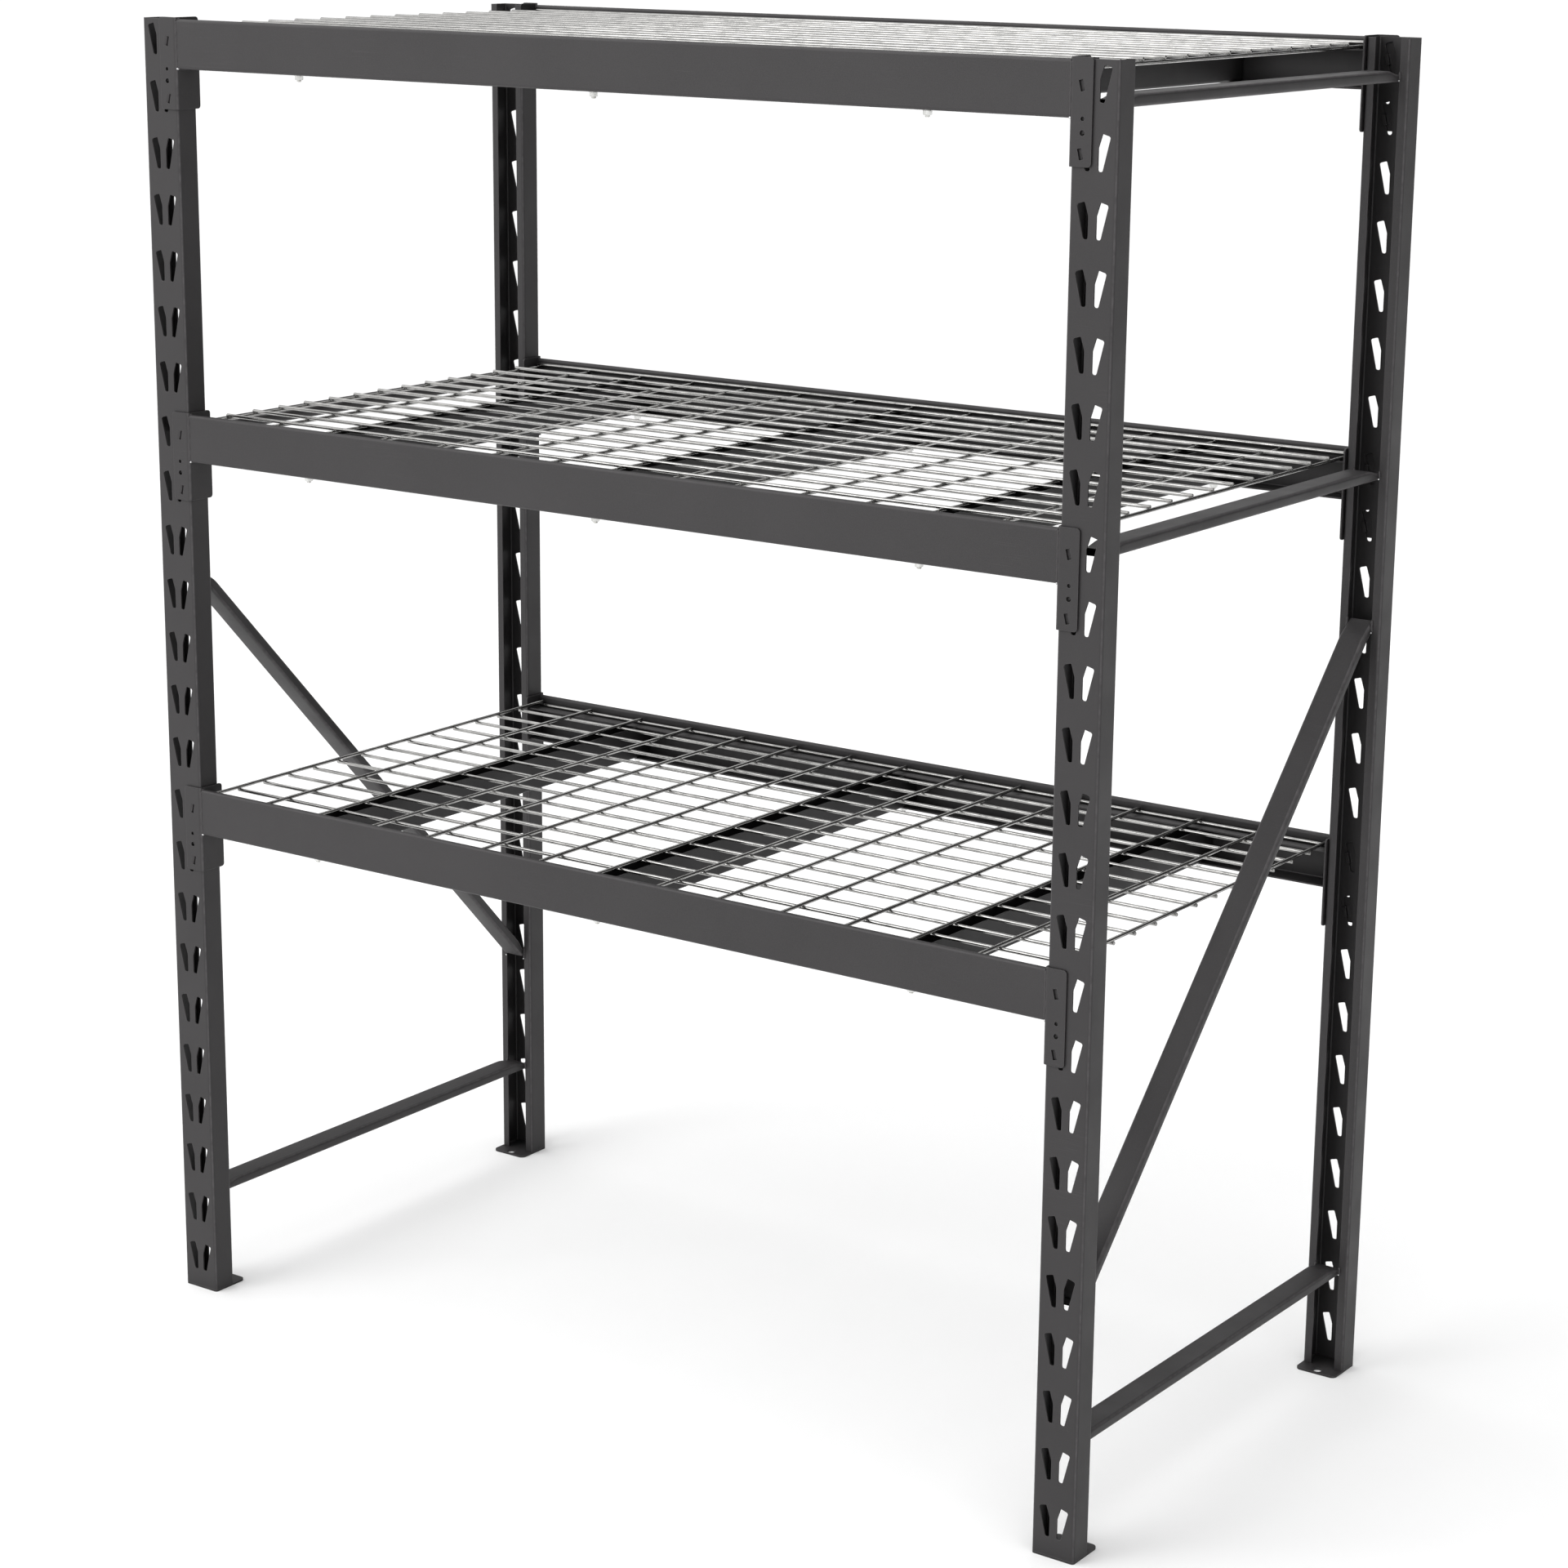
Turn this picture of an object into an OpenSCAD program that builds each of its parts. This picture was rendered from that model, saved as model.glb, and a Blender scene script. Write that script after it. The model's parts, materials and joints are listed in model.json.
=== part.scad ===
// Boltless steel shelving: two welded side frames of slotted posts, three levels of hook-in beams,
// deck supports and loose wire decks. Millimetres, +Z up, front towards -Y, left towards -X.
// The origin is on the floor at the centre of the footprint.

/* [Rack] */
// Overall width over the posts
rack_w = 1524; // [1450:1:1700]
// Overall depth over the post faces
rack_d = 762; // [610:1:914]
// Number of slot rows on a post, which sets its height
slot_rows = 24; // [23:1:30]
// Slot row, counted from the top, that the top beams hook into
top_row = 0; // [0:1:2]
// Slot row that the middle beams hook into
middle_row = 7; // [4:1:10]
// Slot row that the bottom beams hook into
bottom_row = 14; // [12:1:19]

/* [Posts] */
// Width of a post's slotted face
post_w = 61; // [58:0.5:70]
// Depth of a post, front to back
post_d = 36; // [32:1:45]
// Thickness of the post sheet
post_t = 2; // [1.5:0.1:2.5]
// Outside radius of the post's bends
post_bend_r = 4; // [4:0.5:6]
// Width of each inward lip
post_lip = 12.5; // [10:0.5:15]
// Vertical distance between slot rows
slot_pitch = 76.2; // [74:0.1:80]
// Height of a slot
slot_h = 42.5; // [40:0.5:44]

/* [Foot plates] */
// Length of a foot plate, front to back
foot_l = 60; // [58:1:75]
// Thickness of a foot plate
foot_t = 3; // [2:0.5:5]
// Radius of the two inner corners
foot_corner_r = 8; // [4:1:12]
// Diameter of the floor anchor hole
foot_hole_d = 13; // [9:0.5:14]
// Distance from the post's outer face to the centre of the anchor hole
foot_hole_y = 51.5; // [50:0.5:52]

/* [Frame braces] */
// Thickness of a brace tube, across its flat sides
brace_h = 15; // [12:1:20]
// Wall of a brace tube
brace_wall = 1.5; // [1:0.1:2]
// Corner radius of a brace tube
brace_r = 4.5; // [3:0.5:6]
// Distance from the post tops down to the top face of the top brace
top_brace_drop = 40; // [20:1:80]
// Height of the top face of the middle brace
middle_brace_z = 1275; // [1180:1:1350]
// Height of the top face of the bottom brace
bottom_brace_z = 158; // [100:1:250]
// Height of the diagonal's centre line at its high end
diagonal_high_z = 1065; // [900:1:1100]
// Height of the diagonal's centre line at its low end
diagonal_low_z = 340; // [260:1:450]

/* [Beams] */
// Height of a beam
beam_h = 66; // [60:1:70]
// Depth of a beam's flanges
beam_flange = 36; // [32:1:40]
// Thickness of the beam sheet
beam_t = 2; // [1.5:0.1:2.5]
// Outside radius of the beam's bends
beam_bend_r = 4; // [3:0.5:4]
// Width of the rounded rail along a beam's top
rail_w = 9; // [8:0.5:10]
// Distance from a beam's top down to the ledge that a deck rests on
ledge_drop = 15; // [13:0.5:18]

/* [End connectors] */
// Height of a connector
connector_h = 122.2; // [118:0.1:124]
// Distance a connector reaches below the beam
connector_drop = 53.7; // [50:0.1:54]
// Width of the leg that lies on the post's face
connector_face_w = 30.5; // [28:0.5:32]
// Depth of the leg that runs along the side of the post
connector_side_d = 43; // [40:0.5:46]
// Thickness of the connector plate
connector_t = 2.2; // [2:0.1:3]
// Corner radius of the connector's legs
connector_corner_r = 4.5; // [4:0.5:8]

/* [Deck supports] */
// Width of a deck support
support_w = 24; // [20:1:30]
// Thickness of the support sheet
support_t = 1.5; // [1:0.1:2]
// Distance from the centre support to an outer support
support_spacing = 495; // [450:1:520]

/* [Wire decks] */
// Diameter of the deck wire
wire_d = 5; // [4:0.1:6]
// Distance between neighbouring long wires
long_pitch = 52.2; // [50:0.1:52.2]
// Number of long wires, which run left to right
long_count = 15; // [11:1:15]
// Number of cross wires, which run front to back
cross_count = 15; // [9:2:15]
// Distance between neighbouring cross wires
cross_pitch = 98.5; // [96:0.5:98.5]

/* [Hidden] */
SIDES = ["left", "right"];
FACES = ["front", "back"];
LEVELS = ["top", "middle", "bottom"];
SUPPORTS = ["left", "centre", "right"];

charcoal = [0.31, 0.30, 0.31];
dark_charcoal = [0.24, 0.235, 0.24];
zinc = [0.78, 0.79, 0.80];

cut = 1;                    // how far a cutting shape runs past the face it cuts
gap = 0.3;                  // clearance between parts that move against each other
arc_steps = 3;              // straight segments in each rounded slot corner

// Posts and slots
slot_top_drop = 5.8;        // post top to the top of the first slot row
post_h = slot_rows * slot_pitch;
slot_inner_x = 5.2;         // slot edge nearest the post's centre line
slot_lean_z = -16;          // where that edge starts to lean outwards
slot_head_inner_x = 10.3;   // ends of the sloping top edge
slot_head_outer_x = 21.2;
slot_head_drop = 3;
slot_foot_outer_x = 11.4;   // outer end of the bottom edge
slot_corners = [
    [slot_head_inner_x, 0],
    [slot_head_outer_x, -slot_head_drop],
    [slot_foot_outer_x, -slot_h],
    [slot_inner_x, -slot_h],
    [slot_inner_x, slot_lean_z]
];
slot_radii = [1.5, 2.5, 2.6, 2.6, 6];

// Braces
brace_w = post_w - 2 * post_lip;
brace_reach = 4;            // how far a brace runs in past the face of the post's lips
brace_l = rack_d - 2 * (post_d - brace_reach);
diagonal_rise = diagonal_high_z - diagonal_low_z;
diagonal_run = rack_d - 2 * post_d;
diagonal_angle = atan2(diagonal_rise, diagonal_run);

// Connectors: positions are measured from the post's outer corner
hook_drop = 60.7;           // top of a hooked slot row down to the bottom of the beam
connector_front_y = -gap - connector_t;
connector_outer_x = post_w + gap + connector_t;
connector_inner_x = connector_outer_x - connector_face_w;
connector_bend_r = 5;
hook_h = 13;                // height of a hook, which is a tab lanced out of the connector
hook_mid_z = -23.6;         // centre of the hook below the top of its slot row
hook_bend_r = connector_t + 0.8;
hook_overlap = 0.5;         // how far a hook runs into the plate that it is bent from
hook_window = 3.6;          // how far the opening that the tab left reaches past the slot's edge
hook_nose = 2.3;            // how far the hook's nose reaches past that edge, behind the post's face
hook_nose_t = 2.5;          // thickness of the nose
slot_edge_lean = (slot_head_outer_x - slot_foot_outer_x) / (slot_h - slot_head_drop);
hook_lean = atan(slot_edge_lean);
hook_levels = [0, -slot_pitch];
pin_hole_x = 15;            // the two round holes, from the post's centre line
pin_holes = [[5, 0], [6.5, -15.8]];   // diameter, and height above the beam's bottom

// Beams
beam_face_y = connector_front_y + 1.5;
beam_half_l = rack_w / 2 - connector_outer_x;
ledge_z = beam_h - ledge_drop;

// Deck supports and their bolts
support_h = ledge_z - beam_t;
support_bend_r = 3;
support_l = rack_d - 8;
bolt_y = 18.5;              // bolt line, from the post's outer face
bolt_d = 6;
bolt_hole_d = 6.5;
bolt_head_w = 10;
bolt_head_h = 4;
nut_w = 10;
nut_h = 5;
nut_bore_d = 6.1;
nut_flange_d = 13;
nut_flange_h = 1.8;
bolt_l = support_t + beam_t + nut_flange_h + nut_h + 2.4;

// Wire decks
wire_bite = 0.3;            // how far crossing wires are pressed into each other at the welds
wire_overhang = 3;          // wire length past the outermost crossing
wire_step = wire_d - wire_bite;

function side_sign(side) = side == "left" ? -1 : side == "right" ? 1 : 0;
function face_sign(face) = face == "front" ? -1 : 1;
function level_row(level) = level == "top" ? top_row : level == "middle" ? middle_row : bottom_row;
function row_top(row) = post_h - slot_top_drop - row * slot_pitch;
function beam_bottom(level) = row_top(level_row(level)) - hook_drop;

// Distance of a slot's outer edge from the post's centre line, at height z below the row's top
function slot_edge_x(z) = slot_head_outer_x + (z + slot_head_drop) * slot_edge_lean;

function unit(v) = v / norm(v);

// Points of the arc that rounds corner b, between neighbours a and c, to radius r
function corner_arc(a, b, c, r) =
    let (
        to_a = unit(a - b),
        to_c = unit(c - b),
        half = acos(to_a * to_c) / 2,
        centre = b + unit(to_a + to_c) * r / sin(half),
        first = b + to_a * r / tan(half) - centre,
        last = b + to_c * r / tan(half) - centre,
        start = atan2(first.y, first.x),
        sweep = (atan2(last.y, last.x) - start + 540) % 360 - 180
    )
    [for (k = [0 : arc_steps])
        centre + r * [cos(start + sweep * k / arc_steps), sin(start + sweep * k / arc_steps)]];

function rounded_outline(corners, radii) =
    let (n = len(corners))
    [for (i = [0 : n - 1])
        each corner_arc(corners[(i + n - 1) % n], corners[i], corners[(i + 1) % n], radii[i])];

// Moves a part drawn at the outer corner of the front left post to any of the four corners
module at_corner(face, side) {
    translate([side_sign(side) * rack_w / 2, face_sign(face) * rack_d / 2, 0])
        mirror([side == "right" ? 1 : 0, 0, 0])
            mirror([0, face == "back" ? 1 : 0, 0])
                children();
}

// Turns a part of the left side frame into the right one by half a turn about the vertical
module at_side(side) {
    rotate([0, 0, side == "right" ? 180 : 0])
        children();
}

module rounded_rect(w, h, r) {
    translate([r, 0]) square([w - 2 * r, h]);
    translate([0, r]) square([w, h - 2 * r]);
    for (x = [r, w - r], y = [r, h - r])
        translate([x, y]) circle(r, $fn = 32);
}

// Stands a flat outline up in the XZ plane, from y = front to y = back
module upright(front, back) {
    translate([0, back, 0])
        rotate([90, 0, 0])
            linear_extrude(back - front)
                children();
}

module post_section() {
    difference() {
        rounded_rect(post_w, post_d, post_bend_r);
        translate([post_t, post_t])
            rounded_rect(post_w - 2 * post_t, post_d - 2 * post_t, post_bend_r - post_t);
        translate([post_lip, post_d - post_t - cut])
            square([brace_w, post_t + 2 * cut]);
    }
}

module slot_pair() {
    outline = rounded_outline(slot_corners, slot_radii);
    for (m = [0, 1])
        mirror([m, 0, 0])
            upright(-cut, post_t + cut)
                polygon(outline);
}

module post(face, side) {
    color(charcoal)
        at_corner(face, side)
            difference() {
                translate([0, 0, foot_t])
                    linear_extrude(post_h - foot_t)
                        post_section();
                for (row = [0 : slot_rows - 1])
                    translate([post_w / 2, 0, row_top(row)])
                        slot_pair();
            }
}

// Follows the post's bends at the outside and has two larger corners at the inside
module foot_outline() {
    rounded_rect(post_w, foot_l / 2, post_bend_r);
    translate([0, foot_l / 4])
        square([post_w, foot_l / 2]);
    translate([0, foot_l / 2])
        rounded_rect(post_w, foot_l / 2, foot_corner_r);
}

module foot_plate(face, side) {
    color(dark_charcoal)
        at_corner(face, side)
            linear_extrude(foot_t)
                difference() {
                    foot_outline();
                    translate([post_w / 2, foot_hole_y])
                        circle(d = foot_hole_d, $fn = 48);
                }
}

// Brace tube along Y, centred on its axis
module brace_tube(length) {
    rotate([90, 0, 0])
        linear_extrude(length, center = true)
            translate([-brace_w / 2, -brace_h / 2])
                difference() {
                    rounded_rect(brace_w, brace_h, brace_r);
                    translate([brace_wall, brace_wall])
                        rounded_rect(
                            brace_w - 2 * brace_wall,
                            brace_h - 2 * brace_wall,
                            brace_r - brace_wall
                        );
                }
}

module level_brace(side, top_z) {
    color(charcoal)
        at_side(side)
            translate([-(rack_w - post_w) / 2, 0, top_z - brace_h / 2])
                brace_tube(brace_l);
}

module diagonal_brace(side) {
    color(charcoal)
        at_side(side)
            translate([-(rack_w - post_w) / 2, 0, (diagonal_high_z + diagonal_low_z) / 2])
                intersection() {
                    rotate([-diagonal_angle, 0, 0])
                        brace_tube(2 * norm([diagonal_run, diagonal_rise]));
                    cube([post_w, brace_l, 2 * post_h], center = true);
                }
}

// Open-backed step beam seen from its end: the front web at x = 0, with a rail above the ledge
module beam_section() {
    bend_x = rail_w - beam_t;
    bend_z = ledge_z - beam_t;
    difference() {
        union() {
            rounded_rect(2 * beam_flange, ledge_z, beam_bend_r);
            rounded_rect(rail_w, beam_h, beam_bend_r);
        }
        translate([beam_t, beam_t])
            rounded_rect(2 * beam_flange, ledge_z - 2 * beam_t, beam_bend_r - beam_t);
        translate([beam_t, beam_t])
            rounded_rect(rail_w - 2 * beam_t, beam_h - 2 * beam_t, beam_bend_r - beam_t);
        translate([bend_x, bend_z])
            square(beam_bend_r);
        translate([beam_flange, -cut])
            square([beam_flange + cut, beam_h + 2 * cut]);
    }
    intersection() {
        translate([bend_x, bend_z])
            square(beam_bend_r);
        translate([bend_x + beam_bend_r, bend_z + beam_bend_r])
            difference() {
                circle(beam_bend_r, $fn = 64);
                circle(beam_bend_r - beam_t, $fn = 64);
            }
    }
}

// Calls its children once at each bolt of one face, at the underside of the beam
module at_bolts(face, level) {
    for (x = [-support_spacing, 0, support_spacing])
        translate([x, face_sign(face) * (rack_d / 2 - bolt_y), beam_bottom(level)])
            children();
}

module beam(level, face) {
    color(charcoal)
        difference() {
            mirror([0, face == "back" ? 1 : 0, 0])
                translate([-beam_half_l, -rack_d / 2 + beam_face_y, beam_bottom(level)])
                    rotate([90, 0, 90])
                        linear_extrude(2 * beam_half_l)
                            beam_section();
            at_bolts(face, level)
                translate([0, 0, -cut])
                    cylinder(d = bolt_hole_d, h = beam_t + 2 * cut, $fn = 32);
        }
}

// Angle section of a connector, seen from above
module connector_section() {
    side_x = connector_outer_x - connector_t;
    difference() {
        translate([connector_inner_x - connector_bend_r, connector_front_y])
            rounded_rect(
                connector_face_w + connector_bend_r,
                connector_side_d + connector_bend_r,
                connector_bend_r
            );
        translate([connector_inner_x - 2 * connector_bend_r, connector_front_y + connector_t])
            rounded_rect(
                side_x - connector_inner_x + 2 * connector_bend_r,
                2 * connector_side_d,
                connector_bend_r - connector_t
            );
        translate([connector_inner_x - 2 * connector_bend_r, connector_front_y - cut])
            square([2 * connector_bend_r, connector_side_d + 2 * cut]);
        translate([connector_inner_x, connector_front_y + connector_side_d])
            square([connector_face_w + cut, 2 * connector_bend_r]);
    }
}

// Rounds the free corners of the leg on the post's face
module connector_face_outline() {
    translate([connector_inner_x, -connector_drop])
        rounded_rect(2 * connector_face_w, connector_h, connector_corner_r);
}

// Rounds the free corners of the leg beside the post
module connector_side_outline() {
    translate([connector_front_y - connector_side_d, -connector_drop])
        rounded_rect(2 * connector_side_d, connector_h, connector_corner_r);
}

// Puts children at both hooks: Z along the slot's slanted outer edge, X outwards across it
module at_hooks() {
    for (z = hook_levels)
        translate([post_w / 2 + slot_edge_x(hook_mid_z), 0, hook_drop + z + hook_mid_z])
            rotate([0, hook_lean, 0])
                translate([0, 0, -hook_h / 2])
                    children();
}

// Opening that the tab leaves, together with the tab's bend
module hook_opening() {
    translate([-gap - hook_bend_r, connector_front_y - cut, 0])
        cube([hook_bend_r + gap + hook_window, connector_t + 2 * cut, hook_h]);
}

// Tab bent in through the slot, with a nose that catches behind the post's face
module hook() {
    nose_y = post_t + gap;
    linear_extrude(hook_h) {
        translate([-gap - hook_bend_r - hook_overlap, connector_front_y])
            square([hook_overlap, connector_t]);
        intersection() {
            translate([-gap - hook_bend_r, connector_front_y + hook_bend_r])
                circle(hook_bend_r, $fn = 64);
            translate([-gap - hook_bend_r, connector_front_y])
                square([hook_bend_r, hook_bend_r]);
        }
        translate([-gap - connector_t, connector_front_y + hook_bend_r])
            square([connector_t, nose_y + hook_nose_t - connector_front_y - hook_bend_r]);
        translate([-gap - connector_t, nose_y])
            square([connector_t + gap + hook_nose, hook_nose_t]);
    }
}

module connector(level, face, side) {
    color(charcoal)
        at_corner(face, side)
            translate([0, 0, beam_bottom(level)]) {
                difference() {
                    intersection() {
                        translate([0, 0, -connector_drop])
                            linear_extrude(connector_h)
                                connector_section();
                        upright(connector_front_y - cut, connector_side_d + cut)
                            connector_face_outline();
                        rotate([90, 0, 90])
                            linear_extrude(2 * post_w)
                                connector_side_outline();
                    }
                    at_hooks()
                        hook_opening();
                    for (hole = pin_holes)
                        translate([post_w / 2 + pin_hole_x, 0, hole[1]])
                            rotate([90, 0, 0])
                                cylinder(d = hole[0], h = 4 * connector_t, center = true, $fn = 32);
                }
                at_hooks()
                    hook();
            }
}

module support_section() {
    difference() {
        rounded_rect(support_w, 2 * support_h, support_bend_r);
        translate([support_t, support_t])
            rounded_rect(support_w - 2 * support_t, 2 * support_h, support_bend_r - support_t);
        translate([-cut, support_h])
            square([support_w + 2 * cut, support_h + cut]);
    }
}

// Channel that lies on the beams' lower flanges, cut down at both ends to pass under their ledges
module support(level, place) {
    x = side_sign(place) * support_spacing;
    notch_y = rack_d / 2 - beam_face_y - beam_flange - cut;
    color(dark_charcoal)
        difference() {
            translate([x - support_w / 2, support_l / 2, beam_bottom(level) + beam_t])
                rotate([90, 0, 0])
                    linear_extrude(support_l)
                        support_section();
            for (face = FACES)
                mirror([0, face == "front" ? 1 : 0, 0])
                    translate([x - support_w, notch_y, beam_bottom(level) + ledge_z - beam_t - gap])
                        cube([2 * support_w, support_l, support_h]);
            for (face = FACES)
                translate([
                    x,
                    face_sign(face) * (rack_d / 2 - bolt_y),
                    beam_bottom(level) + beam_t - cut
                ])
                    cylinder(d = bolt_hole_d, h = support_t + 2 * cut, $fn = 32);
        }
}

// Hexagon prism, measured across its flats
module hexagon(flats, height) {
    cylinder(d = flats / cos(30), h = height, $fn = 6);
}

module support_bolts(level) {
    color(zinc)
        for (face = FACES)
            at_bolts(face, level)
                translate([0, 0, beam_t + support_t]) {
                    hexagon(bolt_head_w, bolt_head_h);
                    translate([0, 0, -bolt_l])
                        cylinder(d = bolt_d, h = bolt_l + bolt_head_h / 2, $fn = 32);
                }
}

module support_nuts(level) {
    color(zinc)
        for (face = FACES)
            at_bolts(face, level)
                difference() {
                    union() {
                        translate([0, 0, -nut_flange_h])
                            cylinder(d = nut_flange_d, h = nut_flange_h, $fn = 48);
                        translate([0, 0, -nut_flange_h - nut_h])
                            hexagon(nut_w, nut_h + nut_flange_h / 2);
                    }
                    translate([0, 0, -nut_flange_h - nut_h - cut])
                        cylinder(d = nut_bore_d, h = nut_h + nut_flange_h + 2 * cut, $fn = 32);
                }
}

// Height of a deck's long or cross wires; the bottom deck lies the other way up, cross wires on top
function wire_z(level, long) =
    beam_bottom(level) + ledge_z + gap + wire_d / 2 + (long == (level != "bottom") ? wire_step : 0);

module deck_long_wires(level) {
    half_l = (cross_count - 1) * cross_pitch / 2 + wire_overhang;
    color(zinc)
        for (i = [0 : long_count - 1])
            translate([-half_l, (i - (long_count - 1) / 2) * long_pitch, wire_z(level, true)])
                rotate([0, 90, 0])
                    cylinder(d = wire_d, h = 2 * half_l, $fn = 24);
}

module deck_cross_wires(level) {
    half_l = (long_count - 1) * long_pitch / 2 + wire_overhang;
    color(zinc)
        for (i = [0 : cross_count - 1])
            translate([(i - (cross_count - 1) / 2) * cross_pitch, half_l, wire_z(level, false)])
                rotate([90, 0, 0])
                    cylinder(d = wire_d, h = 2 * half_l, $fn = 24);
}

for (face = FACES, side = SIDES) {
    post(face, side);
    foot_plate(face, side);
}

for (side = SIDES) {
    level_brace(side, post_h - top_brace_drop);
    level_brace(side, middle_brace_z);
    level_brace(side, bottom_brace_z);
    diagonal_brace(side);
}

for (level = LEVELS, face = FACES) {
    beam(level, face);
    for (side = SIDES)
        connector(level, face, side);
}

for (level = LEVELS) {
    for (place = SUPPORTS)
        support(level, place);
    support_bolts(level);
    support_nuts(level);
    deck_long_wires(level);
    deck_cross_wires(level);
}
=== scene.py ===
"""Boltless steel shelving: the looks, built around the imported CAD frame.

Metres throughout. +Z is up, the front of the rack faces -Y, and the origin is on the floor at
the centre of the footprint. Places come from the CAD nodes' boxes.
"""

import json
import math
import random

import bpy
from mathutils import Matrix, Vector


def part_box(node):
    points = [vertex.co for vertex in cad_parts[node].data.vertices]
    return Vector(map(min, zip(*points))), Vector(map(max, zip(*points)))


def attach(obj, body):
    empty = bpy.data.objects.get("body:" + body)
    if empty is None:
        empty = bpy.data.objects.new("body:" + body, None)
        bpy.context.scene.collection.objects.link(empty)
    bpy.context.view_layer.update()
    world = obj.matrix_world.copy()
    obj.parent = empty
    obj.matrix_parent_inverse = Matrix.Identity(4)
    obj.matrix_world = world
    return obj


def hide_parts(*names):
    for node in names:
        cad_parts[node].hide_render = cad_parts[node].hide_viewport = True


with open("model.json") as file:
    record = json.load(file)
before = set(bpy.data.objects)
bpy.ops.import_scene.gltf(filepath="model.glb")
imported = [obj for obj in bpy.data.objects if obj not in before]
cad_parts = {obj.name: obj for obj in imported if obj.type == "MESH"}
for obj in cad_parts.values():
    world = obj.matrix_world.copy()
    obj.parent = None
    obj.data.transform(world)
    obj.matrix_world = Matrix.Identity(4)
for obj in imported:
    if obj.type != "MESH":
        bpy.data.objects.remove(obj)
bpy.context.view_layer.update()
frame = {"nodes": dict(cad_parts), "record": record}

MM = 0.001
SIDES = ("left", "right")
FACES = ("front", "back")
LEVELS = ("top", "middle", "bottom")

# ---------------------------------------------------------------- camera, floor and lights

CAMERA_PLACE = Vector((2.8096, -3.8913, 2.0336))
CAMERA_TURN = 35.43               # degrees anticlockwise from looking along +Y
CAMERA_DOWN = 14.39               # degrees below the horizon
CAMERA_ROLL = 0.52
CAMERA_LENS = 82.1                # mm on the default 36 mm sensor
FLOOR_HALF = 60.0                 # half the side of the floor's square
DOME_TOWARDS = (-0.28, -0.72, 0.63)
DOME_DARK = 0.08                  # strength facing away from that direction
DOME_BRIGHT = 1.52                # strength facing towards it


def make_camera():
    data = bpy.data.cameras.new("camera")
    data.lens = CAMERA_LENS
    data.clip_start, data.clip_end = 0.05, 200
    camera = bpy.data.objects.new("camera", data)
    turn = Matrix.Rotation(math.radians(CAMERA_TURN), 4, "Z")
    tilt = Matrix.Rotation(math.radians(90 - CAMERA_DOWN), 4, "X")
    roll = Matrix.Rotation(math.radians(CAMERA_ROLL), 4, "Z")
    camera.matrix_world = Matrix.Translation(CAMERA_PLACE) @ turn @ tilt @ roll
    bpy.context.scene.collection.objects.link(camera)
    bpy.context.scene.camera = camera


def make_floor():
    mesh = bpy.data.meshes.new("floor")
    corners = [(x * FLOOR_HALF, y * FLOOR_HALF, 0) for x, y in ((-1, -1), (1, -1), (1, 1), (-1, 1))]
    mesh.from_pydata(corners, [], [(0, 1, 2, 3)])
    floor = bpy.data.objects.new("floor", mesh)
    bpy.context.scene.collection.objects.link(floor)
    mesh.materials.append(floor_material())


def area_light(name, place, aim, size, watts):
    data = bpy.data.lights.new(name, "AREA")
    data.shape = "SQUARE"
    data.size = size
    data.energy = watts
    light = bpy.data.objects.new(name, data)
    light.location = place
    light.rotation_euler = (Vector(aim) - Vector(place)).to_track_quat("-Z", "Y").to_euler()
    bpy.context.scene.collection.objects.link(light)


def make_world():
    """Studio dome: bright in front and overhead, dark low down behind the rack."""
    world = bpy.data.worlds.new("studio")
    n = Nodes(world)
    lit = n.add("ShaderNodeVectorMath", operation="DOT_PRODUCT")
    n.join(n.place, lit.inputs[0])
    lit.inputs[1].default_value = DOME_TOWARDS
    background = n.tree.nodes["Background"]
    background.inputs["Color"].default_value = (1, 1, 1, 1)
    strength = n.span(lit.outputs["Value"], -0.30, 0.62, DOME_DARK, DOME_BRIGHT)
    n.join(strength, background.inputs["Strength"])
    bpy.context.scene.world = world


def make_lights():
    make_world()
    area_light("key_light", (-2.6, -4.6, 4.2), (0, 0, 0.9), 3.0, 90)
    area_light("rim_light", (-1.5, 4.5, 4.5), (0, 0, 1.0), 3.0, 30)
    bpy.context.scene.view_settings.view_transform = "Standard"


# ---------------------------------------------------------------- materials


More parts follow.
